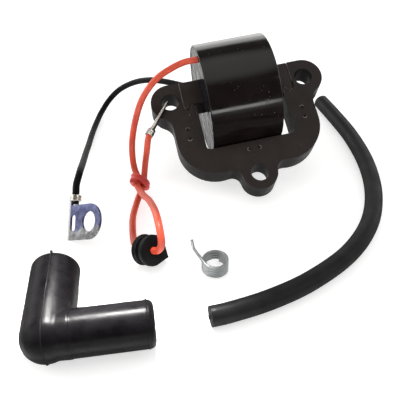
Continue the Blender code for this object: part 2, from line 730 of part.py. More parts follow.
def ht_lead():
    """The loose high-tension lead, cut square at both ends, with its conductor showing there."""
    route = [(x, y, HT_LEAD_R) for x, y in HT_ROUTE]
    points = [in_layout(p) for p in smooth_route(route, 9.0)]
    lead = to_mesh_object(tube("ht_lead", points, HT_LEAD_R, 4))
    show(round_shading(lead), "lead_jacket")
    ends = (("near", points[0], points[1]), ("far", points[-1], points[-2]))
    for name, end, inner in ends:
        turn = (end - inner).to_track_quat("Z", "Y").to_matrix().to_4x4()
        place = Matrix.Translation(end) @ turn
        cut(lead, bar(f"core_hole_{name}", HT_CORE_R + GAP, -HT_CORE_DEEP, 2, place, 16))
        core = bar(f"lead_core_{name}", HT_CORE_R, GAP - HT_CORE_DEEP, HT_CORE_PROUD, place, 16)
        show(core, "copper")


core_plate()
crossbar()
coil_case()
potting()
bobbin()
windings()
ht_spike()
splices()
primary_lead()
ground_lead()
pin_terminal()
wire_tie()
ground_terminal()
grommet()
plug_boot()
contact_spring()
ht_lead()
bpy.context.view_layer.update()
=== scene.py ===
"""Looks of the ignition coil set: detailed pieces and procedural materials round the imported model.

Sizes are in millimetres unless a comment says otherwise. Pieces of the coil are drawn in the core plate's
frame, loose pieces and leads in the layout's frame, and both end up in the row frame in metres.
"""

import math

import bmesh
import bpy
from mathutils import Euler, Matrix, Vector, noise


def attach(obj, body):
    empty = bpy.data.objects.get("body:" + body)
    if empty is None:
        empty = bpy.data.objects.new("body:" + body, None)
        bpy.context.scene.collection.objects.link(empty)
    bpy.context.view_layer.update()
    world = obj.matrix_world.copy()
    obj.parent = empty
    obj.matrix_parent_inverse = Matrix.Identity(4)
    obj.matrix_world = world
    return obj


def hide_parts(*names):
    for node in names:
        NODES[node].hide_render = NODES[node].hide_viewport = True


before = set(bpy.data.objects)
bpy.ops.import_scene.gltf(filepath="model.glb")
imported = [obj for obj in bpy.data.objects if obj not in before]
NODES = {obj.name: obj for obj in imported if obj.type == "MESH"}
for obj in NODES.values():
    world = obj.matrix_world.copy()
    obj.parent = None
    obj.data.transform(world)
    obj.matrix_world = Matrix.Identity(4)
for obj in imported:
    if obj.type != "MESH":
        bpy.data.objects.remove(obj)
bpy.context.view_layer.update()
SCENE = bpy.context.scene
MM = 0.001
FOOTPRINT_CENTRE = (-2.34, 163.95)  # the layout point that the row frame has at its origin


def at(x, y, z=0.0):
    """A layout point, in millimetres, as a place in the row frame."""
    return Vector((x - FOOTPRINT_CENTRE[0], y - FOOTPRINT_CENTRE[1], z)) * MM


# the core plate's frame: the middle of its lower hole on the front face, leaning back, rolled and turned
SEAT_AT, SEAT_LEAN = at(24.12, 177.74, 12.2864), (30.87, -5.92, 11.47)
SEAT_TURN = Euler([math.radians(a) for a in SEAT_LEAN]).to_matrix().to_4x4()
SEAT = Matrix.Translation(SEAT_AT) @ SEAT_TURN


def on_plate(x, y, z):
    """A point of the core plate's frame, in millimetres, as a place in the row frame."""
    return SEAT @ (Vector((x, y, z)) * MM)


# ---------------------------------------------------------------- camera

camera = bpy.data.objects.new("camera", bpy.data.cameras.new("camera"))
camera.location = at(0, 0, 146.6)
camera.rotation_euler = (math.radians(50), 0, 0)
camera.data.lens = 50.13
camera.data.sensor_width = 36
camera.data.clip_start = 0.01
SCENE.collection.objects.link(camera)
SCENE.camera = camera


# ---------------------------------------------------------------- shapes


def place_of(origin, along, up=(0, 0, 1)):
    """A matrix in metres whose z axis runs along a direction and whose x axis leans towards up."""
    z = Vector(along).normalized()
    x = Vector(up) - z * z.dot(Vector(up))
    if x.length < 1e-4:
        x = Vector((1, 0, 0)) - z * z.x
    x.normalize()
    turn = Matrix((x, z.cross(x), z)).transposed()
    return Matrix.Translation(origin) @ turn.to_4x4()


def link(name, data, place=None):
    made = bpy.data.objects.new(name, data)
    SCENE.collection.objects.link(made)
    if place is not None:
        made.matrix_world = place
    return made


def shade(piece, angle=35):
    piece.data.shade_smooth()
    piece.data.set_sharp_from_angle(angle=math.radians(angle))
    return piece


def circle_arc(centre, radius, start, end, steps):
    turn = [math.radians(start + (end - start) * i / steps) for i in range(steps + 1)]
    return [(centre[0] + radius * math.cos(a), centre[1] + radius * math.sin(a)) for a in turn]


def lathe(name, profile, place, steps=96, angle=35):
    """A turned piece: a profile of (radius, height) in millimetres about place's z axis."""
    mesh = bpy.data.meshes.new(name)
    shape = bmesh.new()
    points = [shape.verts.new((r * MM, 0, h * MM)) for r, h in profile]
    edges = [shape.edges.new((p, q)) for p, q in zip(points, points[1:])]
    bmesh.ops.spin(
        shape,
        geom=points + edges,
        axis=(0, 0, 1),
        cent=(0, 0, 0),
        steps=steps,
        angle=math.tau,
        use_merge=True,
    )
    bmesh.ops.remove_doubles(shape, verts=shape.verts, dist=1e-7)
    bmesh.ops.recalc_face_normals(shape, faces=shape.faces)
    shape.to_mesh(mesh)
    shape.free()
    return shade(link(name, mesh, place), angle)


def baked(piece, angle=35):
    """The piece with its modifiers, or its curve, turned into a plain mesh, at the same place."""
    bpy.context.view_layer.update()
    evaluated = piece.evaluated_get(bpy.context.evaluated_depsgraph_get())
    mesh = bpy.data.meshes.new_from_object(evaluated)
    shape = bmesh.new()
    shape.from_mesh(mesh)
    bmesh.ops.remove_doubles(shape, verts=shape.verts, dist=1e-6)
    bmesh.ops.recalc_face_normals(shape, faces=shape.faces)
    shape.to_mesh(mesh)
    shape.free()
    name, place = piece.name, piece.matrix_world.copy()
    bpy.data.objects.remove(piece)
    return shade(link(name, mesh, place), angle)


def outline(name, loops, low, high, edge, place):
    """A flat piece from closed loops of (x, y) in millimetres, with rounded edges."""
    curve = bpy.data.curves.new(name, "CURVE")
    curve.dimensions = "2D"
    curve.fill_mode = "BOTH"
    curve.extrude = ((high - low) / 2 - edge) * MM
    curve.bevel_depth = edge * MM
    curve.bevel_resolution = 2
    curve.offset = -edge * MM
    for loop in loops:
        spline = curve.splines.new("POLY")
        spline.points.add(len(loop) - 1)
        spline.use_cyclic_u = True
        for point, (x, y) in zip(spline.points, loop):
            point.co = (x * MM, y * MM, 0, 1)
    middle = Matrix.Translation((0, 0, (low + high) / 2 * MM))
    return baked(link(name, curve, place @ middle))


def boolean(piece, other, operation="DIFFERENCE"):
    """Cuts or joins another mesh, which is then removed."""
    step = piece.modifiers.new(operation, "BOOLEAN")
    step.operation = operation
    step.object = other
    step.solver = "EXACT"
    result = baked(piece)
    bpy.data.objects.remove(other)
    return result


def rounded(piece, width, segments=2, angle=40):
    """Rounds a piece's sharp edges by a width in millimetres."""
    step = piece.modifiers.new("edges", "BEVEL")
    step.width = width * MM
    step.segments = segments
    step.limit_method = "ANGLE"
    step.angle_limit = math.radians(angle)
    step.harden_normals = False
    return piece


def even_normals(piece):
    """Keeps broad flat faces flat next to rounded edges."""
    step = piece.modifiers.new("normals", "WEIGHTED_NORMAL")
    step.keep_sharp = True
    step.weight = 100
    return piece


def copy_of(node, name):
    """A copy of a CAD node's mesh with its flat faces merged, which stands for the node."""
    shape = bmesh.new()
    shape.from_mesh(NODES[node].data)
    bmesh.ops.remove_doubles(shape, verts=shape.verts, dist=2e-6)
    bmesh.ops.dissolve_limit(
        shape, angle_limit=math.radians(0.5), verts=shape.verts, edges=shape.edges
    )
    mesh = bpy.data.meshes.new(name)
    shape.to_mesh(mesh)
    shape.free()
    return link(name, mesh)


def smooth_route(points, spacing):
    """Points one spacing apart, in millimetres, on a Catmull-Rom curve through the given ones."""
    route = [Vector(p) for p in points]
    ends = [2 * route[0] - route[1], *route, 2 * route[-1] - route[-2]]
    dense = []
    for a, b, c, d in zip(ends, ends[1:], ends[2:], ends[3:]):
        for i in range(20):
            t = i / 20
            pull = (2 * a - 5 * b + 4 * c - d) * t * t + (3 * b - a - 3 * c + d) * t**3
            dense.append((2 * b + (c - a) * t + pull) / 2)
    dense.append(route[-1])
    lengths = [0.0]
    for p, q in zip(dense, dense[1:]):
        lengths.append(lengths[-1] + (q - p).length)
    count = max(2, round(lengths[-1] / spacing))
    picked = []
    step = 0
    for i in range(count + 1):
        wanted = lengths[-1] * i / count
        while step < len(lengths) - 2 and lengths[step + 1] < wanted:
            step += 1
        share = (wanted - lengths[step]) / (lengths[step + 1] - lengths[step])
        picked.append(dense[step].lerp(dense[step + 1], min(max(share, 0.0), 1.0)))
    return picked


def tube(name, points, radius, resolution=6):
    """A round tube along points in metres, as a curve of one open spline."""
    curve = bpy.data.curves.new(name, "CURVE")
    curve.dimensions = "3D"
    curve.bevel_depth = radius * MM
    curve.bevel_resolution = resolution
    curve.use_fill_caps = True
    spline = curve.splines.new("POLY")
    spline.points.add(len(points) - 1)
    spline.use_smooth = True
    for point, place in zip(spline.points, points):
        point.co = (*place, 1)
    return link(name, curve)


# radii of the leads, then the ground terminal's directions and its sizes in millimetres
PRIMARY_R, GROUND_R, LEAD_R = 1.3, 1.35, 3.5
FLAG_ALONG, FLAG_UP = (0.754, -0.445, 0.484), (0.019, 0.75, 0.661)
FLAG_CORNER = (-49.3, 150.8, 0)
FLAG_HALF, FLAG_REACH, FLAG_T, FLAG_HOLE = 6.6, 12.3, 0.9, 3.7
FLAG_STRIP, CRIMP_U, CRIMP_LOW, CRIMP_HIGH = 1.6, 3.3, 8.1, 10.4


def flag_place():
    """The ground terminal's frame: x along its tongue, y up its side, z towards the wire."""
    x = Vector(FLAG_ALONG).normalized()
    z = x.cross(Vector(FLAG_UP)).normalized()
    turn = Matrix((x, z.cross(x), z)).transposed().to_4x4()
    place = Matrix.Translation(at(*FLAG_CORNER)) @ turn
    middle = turn.to_3x3() @ (Vector((0, FLAG_HALF, FLAG_T / 2)) * MM)
    return Matrix.Translation(middle) @ place


FLAG = flag_place()


# ---------------------------------------------------------------- materials

RANGE_SOCKETS = ("From Min", "From Max", "To Min", "To Max")


class Finish:
    """A procedural material: mottled colour, uneven gloss and fine relief in the piece's own space."""

    def __init__(self, name, colour, roughness, metallic=0.0, specular=0.5):
        self.material = bpy.data.materials.new(name)
        self.material.use_nodes = True
        self.nodes = self.material.node_tree.nodes
        self.links = self.material.node_tree.links
        self.shader = self.nodes["Principled BSDF"]
        self.where = self.nodes.new("ShaderNodeTexCoord").outputs["Object"]
        self.put("Base Color", (*colour, 1))
        self.put("Roughness", roughness)
        self.put("Metallic", metallic)
        self.put("Specular IOR Level", specular)
        self.colour = colour
        self.roughness = roughness
        self.normal = None

    def put(self, socket, value):
        self.shader.inputs[socket].default_value = value

    def join(self, source, socket):
        self.links.new(source, self.shader.inputs[socket])

    def noise(self, scale, detail=3.0, stretch=(1, 1, 1), rough=0.55, distortion=0.0):
        """Noise with features about 1/scale metres across, stretched along the axes."""
        mapping = self.nodes.new("ShaderNodeMapping")
        mapping.inputs["Scale"].default_value = [scale * s for s in stretch]
        self.links.new(self.where, mapping.inputs["Vector"])
        noise = self.nodes.new("ShaderNodeTexNoise")
        noise.inputs["Scale"].default_value = 1.0
        noise.inputs["Detail"].default_value = detail
        noise.inputs["Roughness"].default_value = rough
        noise.inputs["Distortion"].default_value = distortion
        self.links.new(mapping.outputs["Vector"], noise.inputs["Vector"])
        return noise.outputs["Fac"]

    def ramp(self, source, low, high, start=0.0, end=1.0):
        """The source, taken from low..high to start..end and held there."""
        spread = self.nodes.new("ShaderNodeMapRange")
        spread.clamp = True
        for socket, value in zip(RANGE_SOCKETS, (low, high, start, end)):
            spread.inputs[socket].default_value = value
        self.links.new(source, spread.inputs["Value"])
        return spread.outputs["Result"]

    def math(self, operation, a, b):
        step = self.nodes.new("ShaderNodeMath")
        step.operation = operation
        for socket, value in zip(step.inputs, (a, b)):
            if isinstance(value, float):
                socket.default_value = value
            else:
                self.links.new(value, socket)
        return step.outputs["Value"]

    def mix(self, share, first, second):
        """A colour between two, each a tuple or another node's colour."""
        step = self.nodes.new("ShaderNodeMix")
        step.data_type = "RGBA"
        self.links.new(share, step.inputs["Factor"])
        for socket, value in ((step.inputs[6], first), (step.inputs[7], second)):
            if isinstance(value, tuple):
                socket.default_value = (*value, 1)
            else:
                self.links.new(value, socket)
        return step.outputs[2]

    def mottle(self, scale, amount, other=None, detail=4.0, stretch=(1, 1, 1)):
        """Colour that drifts towards another one, or towards a lighter shade of itself."""
        other = other or tuple(min(1.0, c * (1 + amount) + 0.01 * amount) for c in self.colour)
        dark = tuple(c * (1 - amount) for c in self.colour)
        share = self.ramp(self.noise(scale, detail, stretch), 0.3, 0.7)
        self.tint = self.mix(share, dark, other)
        self.join(self.tint, "Base Color")
        return self

    def uneven(self, scale, amount, detail=4.0, stretch=(1, 1, 1)):
        """Gloss that varies by an amount either way."""
        low, high = max(0.02, self.roughness - amount), min(1.0, self.roughness + amount)
        gloss = self.ramp(self.noise(scale, detail, stretch), 0.3, 0.7, low, high)
        self.join(gloss, "Roughness")
        return self

    def relief(self, scale, depth, detail=2.0, stretch=(1, 1, 1), source=None):
        """Relief of a depth in millimetres, laid over any before it."""
        bump = self.nodes.new("ShaderNodeBump")
        bump.inputs["Strength"].default_value = 1.0
        bump.inputs["Distance"].default_value = depth * MM
        self.links.new(source or self.noise(scale, detail, stretch), bump.inputs["Height"])
        if self.normal:
            self.links.new(self.normal, bump.inputs["Normal"])
        self.normal = bump.outputs["Normal"]
        self.join(self.normal, "Normal")
        return self

    def specks(self, scale, size, colour, roughness=None):
        """Small specks of another colour, scattered thinly."""
        cells = self.nodes.new("ShaderNodeTexVoronoi")
        cells.inputs["Scale"].default_value = scale
        self.links.new(self.where, cells.inputs["Vector"])
        near = self.ramp(cells.outputs["Distance"], size, size * 0.5)
        pick = self.ramp(self.noise(scale * 0.23, 1.0), 0.55, 0.6)
        share = self.math("MULTIPLY", near, pick)
        self.tint = self.mix(share, self.tint, colour)
        self.join(self.tint, "Base Color")
        return self

    def dull(self, source, low, high, start, end):
        """Less mirror where the source runs from low to high."""
        share = self.ramp(source, low, high, start, end)
        level = self.shader.inputs["Specular IOR Level"].default_value
        self.join(self.math("MULTIPLY", share, level), "Specular IOR Level")

    def rim(self):
        """How far a face is turned edge on."""
        edge = self.nodes.new("ShaderNodeLayerWeight")
        edge.inputs["Blend"].default_value = 0.5
        return edge.outputs["Facing"]

    def upward(self):
        """How far a face looks up: 1 up, 0 level, -1 down."""
        facing = self.nodes.new("ShaderNodeNewGeometry")
        split = self.nodes.new("ShaderNodeSeparateXYZ")
        self.links.new(facing.outputs["Normal"], split.inputs["Vector"])
        return split.outputs["Z"]


def core_finish():
    """Brown-black coat over a punched and stacked plate, with painted shade: faces that do not look up
    get a far darker colour than the top face.
    """
    made = Finish("core_coat", (0.0185, 0.0125, 0.0105), 0.36, specular=0.17)
    made.mottle(120, 0.12).uneven(300, 0.07)
    made.specks(900, 0.16, (0.075, 0.065, 0.058))
    # painted shade: side and lower faces are mixed to a much darker colour than the top face
    top = made.ramp(made.upward(), 0.1, 0.6)
    made.join(made.mix(top, (0.0040, 0.0030, 0.0027), made.tint), "Base Color")
    made.dull(made.upward(), 0.1, 0.6, 0.2, 1.0)
    return made.relief(2600, 0.012).relief(240, 0.02).material


def case_finish():
    """Glossy moulded case with light handling marks."""
    made = Finish("case_gloss", (0.0065, 0.0045, 0.004), 0.11, specular=0.27)
    made.mottle(90, 0.2).uneven(160, 0.05)
    made.specks(700, 0.13, (0.13, 0.12, 0.11))
    made.dull(made.upward(), 0.18, 0.29, 0.15, 1.0)
    return made.relief(130, 0.012).relief(1500, 0.0015).material


def potting_finish():
    """Cast resin, mirror bright, with a slow swell in its surface."""
    made = Finish("potting_gloss", (0.008, 0.008, 0.010), 0.06, specular=0.16)
    made.mottle(150, 0.25).uneven(300, 0.02)
    made.dull(made.rim(), 0.35, 0.85, 1.0, 0.06)
    return made.relief(190, 0.42, 1.5).relief(520, 0.07).material


def rubber_finish(name, base, roughness, grain=2200, depth=0.01, specular=0.11):
    made = Finish(name, base, roughness, specular=specular)
    made.mottle(160, 0.22).uneven(260, 0.07)
    made.specks(1100, 0.14, tuple(c * 2.4 for c in base))
    made.dull(made.rim(), 0.25, 0.75, 1.0, 0.05)
    return made.relief(grain, depth).relief(300, 0.02).material


def wire_finish(name, base, lighter, roughness=0.38, specular=0.45):
    made = Finish(name, base, roughness, specular=specular)
    made.mottle(110, 0.12, lighter).uneven(350, 0.06)
    made.specks(800, 0.11, tuple(c * 0.35 for c in base))
    made.dull(made.rim(), 0.5, 0.95, 1.0, 0.1)
    made.put("Subsurface Weight", 0.04)
    made.put("Subsurface Radius", (0.9 * MM, 0.3 * MM, 0.2 * MM))
    return made.relief(900, 0.006).relief(160, 0.015).material


def metal_finish(name, base, roughness, other):
    made = Finish(name, base, roughness, metallic=1.0)
    made.mottle(260, 0.12, other).uneven(500, 0.06)
    return made.relief(900, 0.001).material


def terminal_finish():
    """Zinc plate: violet passivation over the upper part, plain grey below, smeared between."""
    made = Finish("zinc_plate", (0.42, 0.43, 0.46), 0.3, metallic=1.0)
    side = made.nodes.new("ShaderNodeVectorMath")
    side.operation = "DOT_PRODUCT"
    made.links.new(made.where, side.inputs[0])
    side.inputs[1].default_value = FLAG.to_3x3().col[1]
    start = FLAG.to_3x3().col[1].dot(FLAG.translation)
    drift = made.ramp(made.noise(330, 3.0), 0.2, 0.8, -0.0032 - start, 0.0032 - start)
    height = made.math("ADD", side.outputs["Value"], drift)
    violet = made.ramp(height, -0.0030, -0.0012)
    cloud = made.ramp(made.noise(520, 4.0), 0.35, 0.65)
    blues = made.mix(cloud, (0.055, 0.060, 0.13), (0.105, 0.115, 0.20))
    greys = made.mix(cloud, (0.10, 0.10, 0.105), (0.24, 0.24, 0.245))
    along = made.nodes.new("ShaderNodeVectorMath")
    along.operation = "DOT_PRODUCT"
    made.links.new(made.where, along.inputs[0])
    along.inputs[1].default_value = FLAG.to_3x3().col[0]
    root = FLAG.to_3x3().col[0].dot(FLAG.translation)
    fold = made.ramp(along.outputs["Value"], root + 0.0013, root + 0.0008)
    made.tint = made.mix(fold, made.mix(violet, greys, blues), (0.50, 0.50, 0.48))
    made.join(made.tint, "Base Color")
    made.uneven(700, 0.1)
    return made.relief(1200, 0.01).material


def plain_finishes():
    """Finishes of the pieces inside the case, which show only when it is taken apart."""
    bobbin = Finish("bobbin_nylon", (0.60, 0.55, 0.42), 0.5).mottle(200, 0.1).relief(1500, 0.01)
    paper = Finish("paper", (0.72, 0.60, 0.38), 0.8).mottle(400, 0.15).relief(2500, 0.02)
    wound = Finish("winding", (0.72, 0.33, 0.16), 0.35, metallic=1.0).mottle(300, 0.15)
    wound.relief(1, 0.05, source=wound.noise(9000, 0.0, (1, 0.02, 0.02)))
    return bobbin.material, paper.material, wound.material


CORE = core_finish()
CASE = case_finish()
POTTING = potting_finish()
BOOT = rubber_finish("boot_rubber", (0.0022, 0.0019, 0.0024), 0.30, specular=0.06)
GROMMET = rubber_finish("grommet_rubber", (0.0040, 0.0040, 0.0045), 0.42, specular=0.09)
JACKET = rubber_finish("lead_jacket", (0.009, 0.009, 0.0095), 0.45, 1800, 0.006, 0.13)
ORANGE = wire_finish("orange_wire", (0.60, 0.062, 0.028), (0.70, 0.10, 0.052), 0.36, 0.33)
TIE = wire_finish("tie_thread", (0.60, 0.040, 0.034), (0.72, 0.08, 0.065), 0.3, 0.4)
BLACK = wire_finish("black_wire", (0.003, 0.003, 0.0035), (0.005, 0.005, 0.0055), 0.45, 0.07)
TIN = metal_finish("tinned_brass", (0.42, 0.40, 0.36), 0.25, (0.62, 0.60, 0.55))
SPRING = metal_finish("spring_zinc", (0.30, 0.32, 0.325), 0.38, (0.40, 0.42, 0.42))
ZINC = terminal_finish()
WORN = metal_finish("worn_edge", (0.20, 0.185, 0.17), 0.4, (0.34, 0.31, 0.29))
BOBBIN, PAPER, WOUND = plain_finishes()
SEAM = rubber_finish("boot_seam", (0.002, 0.002, 0.002), 0.6)
CARBON = rubber_finish("carbon_core", (0.02, 0.02, 0.02), 0.7)


def settle(piece):
    """Moves a mesh piece's own place into its mesh."""
    if piece.type == "MESH":
        piece.data.transform(piece.matrix_world)
        piece.matrix_world = Matrix()


def dress(piece, material, body, slot, *nodes):
    """Gives a new piece its material and its body, and hides the CAD nodes it stands for; the slot
    argument is not used.
    """
    settle(piece)
    piece.data.materials.clear()
    piece.data.materials.append(material)
    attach(piece, body)
    if nodes:
        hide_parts(*nodes)
    return piece


# ---------------------------------------------------------------- leads and what is on them

PRIMARY_ROUTE = [
    (-6.0, 205.1, 46.2),
    (-10.0, 203.9, 44.9),
    (-15.9, 201.6, 42.0),
    (-20.3, 199.4, 38.0),
    (-24.0, 197.8, 32.0),
    (-26.6, 194.9, 24.5),
    (-27.9, 191.2, 17.8),
    (-28.0, 188.6, 11.6),
    (-27.2, 185.7, 7.8),
    (-25.9, 182.9, 6.2),
    (-25.7, 180.3, 5.8),
    (-25.6, 177.7, 5.7),
    (-24.3, 173.8, 6.1),
    (-21.8, 167.2, 8.5),
    (-19.2, 160.8, 11.6),
    (-16.4, 151.2, 15.4),
    (-14.5, 142.6, 17.4),
    (-13.5, 138.1, 16.0),
    (-13.15, 136.5, 13.2),
    (-13.6, 136.2, 10.8),
    (-14.9, 136.9, 8.7),
    (-16.15, 137.9, 7.79),
    (-18.22, 139.54, 6.39),
    (-20.3, 141.2, 5.0),
    (-21.3, 142.0, 4.3),
    (-22.6, 143.4, 3.5),
    (-23.7, 145.6, 2.6),
    (-24.9, 150.4, 1.7),
    (-25.8, 156.6, 1.5),
    (-26.2, 163.4, 1.5),
    (-25.3, 171.0, 2.1),
    (-23.8, 177.7, 3.4),
    (-23.5, 180.3, 3.8),
    (-23.3, 182.8, 4.3),
    (-23.1, 186.3, 6.7),
    (-22.7, 187.9, 9.8),
    (-22.1, 188.0, 13.4),
    (-21.5, 187.5, 17.2),
    (-21.1, 187.9, 20.2),
    (-20.5, 189.2, 22.2),
]
GROUND_ROUTE = [
    (-7.2, 222.8, 26.1),
    (-11.4, 226.0, 25.4),
    (-16.6, 230.2, 24.3),
    (-23.6, 236.3, 21.8),
    (-31.5, 242.3, 17.4),
    (-39.1, 246.2, 11.8),
    (-44.8, 246.0, 6.4),
    (-48.5, 239.8, 2.9),
    (-50.3, 230.0, 1.6),
    (-50.9, 220.5, 1.6),
    (-50.7, 210.5, 2.7),
    (-50.0, 201.0, 5.4),
    (-48.8, 192.0, 9.0),
    (-47.6, 184.0, 12.6),
    (-46.7, 177.5, 15.4),
    (-46.2, 172.5, 17.2),
    (-46.2, 168.3, 17.3),
]
HT_ROUTE = [
    (3.3, 112.5),
    (9.7, 114.3),
    (23.1, 119.5),
    (37.8, 127.7),
    (53.4, 140.7),
    (64.4, 156.6),
    (70.4, 175.0),
    (72.0, 195.0),
    (69.9, 215.4),
    (65.5, 233.4),
    (61.2, 248.0),
]
# where the two wired leads leave the drum's left end, in the core plate's frame
PRIMARY_EXIT, GROUND_EXIT = (46.7, 14.4), (50.0, -11.0)


def layout(place):
    """A place in the row frame, in metres, as a layout point in millimetres."""
    return place / MM + Vector((*FOOTPRINT_CENTRE, 0))


def primary_lead():
    y, z = PRIMARY_EXIT
    start = [layout(on_plate(x, y, z)) for x in (-12.0, -14.5, -17.5)]
    points = [at(*p) for p in smooth_route([*start, *PRIMARY_ROUTE], 1.3)]
    wire = dress(tube("primary_wire", points, PRIMARY_R), ORANGE, "coil", "orange_wire", "primary_lead")
    return wire, points


def ground_lead():
    y, z = GROUND_EXIT
    start = [layout(on_plate(x, y, z)) for x in (-13.6, -15.5, -18.0)]
    crimp = [layout(FLAG @ (Vector((CRIMP_U, v, 0)) * MM)) for v in (14.5, 12.5, 9.5, 7.0)]
    points = [at(*p) for p in smooth_route([*start, *GROUND_ROUTE, *crimp], 1.3)]
    wire = dress(tube("ground_wire", points, GROUND_R), BLACK, "coil", "black_wire", "ground_lead")
    return wire, points


def ht_lead():
    """The loose high-tension lead: square-cut ends, each with the core in a shallow hole."""
    points = [at(*p) for p in smooth_route([(x, y, LEAD_R) for x, y in HT_ROUTE], 2.0)]
    lead = baked(tube("ht_cable", points, LEAD_R, 10))
    for end, inner in ((points[0], points[1]), (points[-1], points[-2])):
        place = place_of(end, end - inner)
        profile = [(0, 0.5), (1.1, 0.5), (1.1, -5.9), (0, -5.9)]
        lead = boolean(lead, lathe("hole", profile, place, 32))
    rounded(lead, 0.25, 2, 60)
    lead = baked(lead, 60)
    return dress(lead, JACKET, "lead", "lead_jacket", "ht_lead"), points


def pin_terminal():
    """A crimped barrel that holds the insulation, narrows over the strands and ends in a round pin."""
    start, tip = at(-20.5, 189.2, 22.2), at(-13.4, 202.9, 29.5)
    long = (tip - start).length / MM
    place = place_of(start, tip - start)
    profile = [(0, long), (0.32, long - 0.1), (0.52, long - 0.5), (0.62, long - 1.4)]
    profile += [(0.66, 11.0), (0.68, 8.8), (0.80, 7.4), (0.98, 6.0), (1.02, 3.4), (1.12, 2.9)]
    profile += [(1.62, 2.5), (1.72, 2.3), (1.74, 1.5), (1.62, 1.35), (1.62, 1.15), (1.74, 1.0)]
    profile += [(1.76, -0.3), (1.66, -0.42), (1.45, -0.42), (1.42, 0.5), (0, 0.5)]
    pin = lathe("pin_ferrule", profile, place, 48, 30)
    rounded(pin, 0.06, 2, 45)
    return dress(baked(pin), TIN, "coil", "tinned_metal", "pin_terminal")


def wire_tie():
    """Two tight turns of a soft red strip round both strands, its cut end standing out to the left."""
    centre = at(-24.6, 180.3, 4.8)
    way = Vector((0, 0.995, 0.1)).normalized()
    side = Vector((-0.75, 0, 0.66))
    side = (side - way * way.dot(side)).normalized()
    lift = way.cross(side)
    lift = lift if lift.z > 0 else -lift
    turns, steps = 2.12, 100
    points = []
    for i in range(steps + 1):
        share = i / steps
        angle = math.radians(-20) + share * turns * math.tau
        run = 1.9 - 4.0 * share - 0.95 * math.sin(angle)
        offset = side * (3.5 * math.cos(angle)) + lift * (2.2 * math.sin(angle)) + way * run
        points.append(centre + offset * MM)
    going = (points[-1] - points[-3]).normalized()
    aim = Vector((-0.96, 0.10, 0.26)).normalized()
    for i in range(1, 6):
        step = going.lerp(aim, min(1.0, i / 2.5)).normalized()
        points.append(points[-1] + step * 0.5 * MM)
    return dress(tube("tie_strip", points, 0.92, 7), TIE, "coil", "orange_wire", "wire_tie")


def grommet():
    """Two soft-edged flanges on a hub, the front one with a square corner."""
    axis = Vector((0.69, -0.55, 0.463)).normalized()
    tab = Vector((0.667, 0.249, -0.698))
    tab = (tab - axis * tab.dot(axis)).normalized()
    turn = Matrix((tab, axis.cross(tab), axis)).transposed().to_4x4()
    place = Matrix.Translation(at(-20.3, 141.2, 5.0)) @ turn
    flange, hub, bore, soft = 5.6, 3.7, 1.45, 0.55
    rear = [(bore, 0.3), (bore + 0.3, 0.0), (flange - soft, 0.0)]
    rear += circle_arc((flange - soft, soft), soft, -75, 75, 6)
    rear += [(flange - soft, 2 * soft + 0.75), (hub + 0.4, 2.0), (hub, 2.3), (hub, 3.9)]
    rear += [(hub + 0.3, 4.2), (hub + 0.3, 5.0), (bore, 5.0), (bore, 0.3)]
    body = lathe("grommet_body", rear, place, 64, 50)
    corner = flange * math.sqrt(2) - 0.35
    side, point, blunt = corner - 0.55, corner - 0.12, 0.18
    tip = [(side, -0.55), (point, -blunt), (point, blunt), (side, 0.55)]
    loop = circle_arc((0, 0), flange, 45, 315, 60) + tip
    hole = circle_arc((0, 0), bore, 0, 360, 32)[:-1]
    front = outline("grommet_front", [loop, hole], 4.0, 6.0, 0.4, place)
    dress(body, GROMMET, "coil", "rubber", "grommet")
    settle(front)
    front.parent = body
    front.data.materials.append(GROMMET)
    return body, front


def ground_terminal():
    """A punched flag terminal: a tongue with a hole and a slot, and a crimp rolled round the wire."""
    tongue = [(0, -FLAG_HALF + 0.3), (0.3, -FLAG_HALF), (FLAG_REACH, -FLAG_HALF)]
    tongue += circle_arc((FLAG_REACH, 0), FLAG_HALF, -90, 90, 40)[1:]
    tongue += circle_arc((FLAG_STRIP + 0.6, FLAG_HALF + 0.6), 0.6, -90, -180, 5)
    tongue += [(FLAG_STRIP, CRIMP_HIGH), (0.2, CRIMP_HIGH), (0, CRIMP_HIGH - 0.2)]
    hole = circle_arc((FLAG_REACH, 0), FLAG_HOLE, 0, 360, 48)[:-1]
    u0, u1, v0, v1, soft = 1.5, 4.3, -3.1, 2.9, 1.1
    left, right, lower, upper = u0 + soft, u1 - soft, v0 + soft, v1 - soft
    corners = ((right, lower), (right, upper), (left, upper), (left, lower))
    slot = []
    for index, corner in enumerate(corners):
        slot += circle_arc(corner, soft, -90 + 90 * index, 90 * index, 5)
    half = FLAG_T / 2
    flag = outline("flag_terminal", [tongue, hole, slot], -half, half, 0.16, FLAG)
    turn = Matrix.Rotation(math.radians(-90), 4, "X")
    axis = FLAG @ Matrix.Translation(Vector((CRIMP_U, 0, 0)) * MM) @ turn
    bore = GROUND_R + 0.08
    outer = bore + 0.8
    low, high = CRIMP_LOW, CRIMP_HIGH
    band = [(bore, low + 0.15), (bore + 0.15, low), (outer - 0.2, low), (outer, low + 0.2)]
    band += [(outer, low + 0.85), (outer - 0.14, low + 1.0), (outer, low + 1.15), (outer, high - 0.2)]
    band += [(outer - 0.2, high), (bore + 0.15, high), (bore, high - 0.15), (bore, low + 0.15)]
    crimp = lathe("flag_crimp", band, axis, 48, 40)
    dress(flag, ZINC, "coil", "plated_steel", "ground_terminal")
    crimp.data.materials.append(TIN)
    settle(crimp)
    crimp.parent = flag
    return flag, crimp


primary, primary_points = primary_lead()
ground, ground_points = ground_lead()
cable, cable_points = ht_lead()
pin = pin_terminal()
tie = wire_tie()
grommet_pieces = grommet()
flag_pieces = ground_terminal()


# ---------------------------------------------------------------- core plate

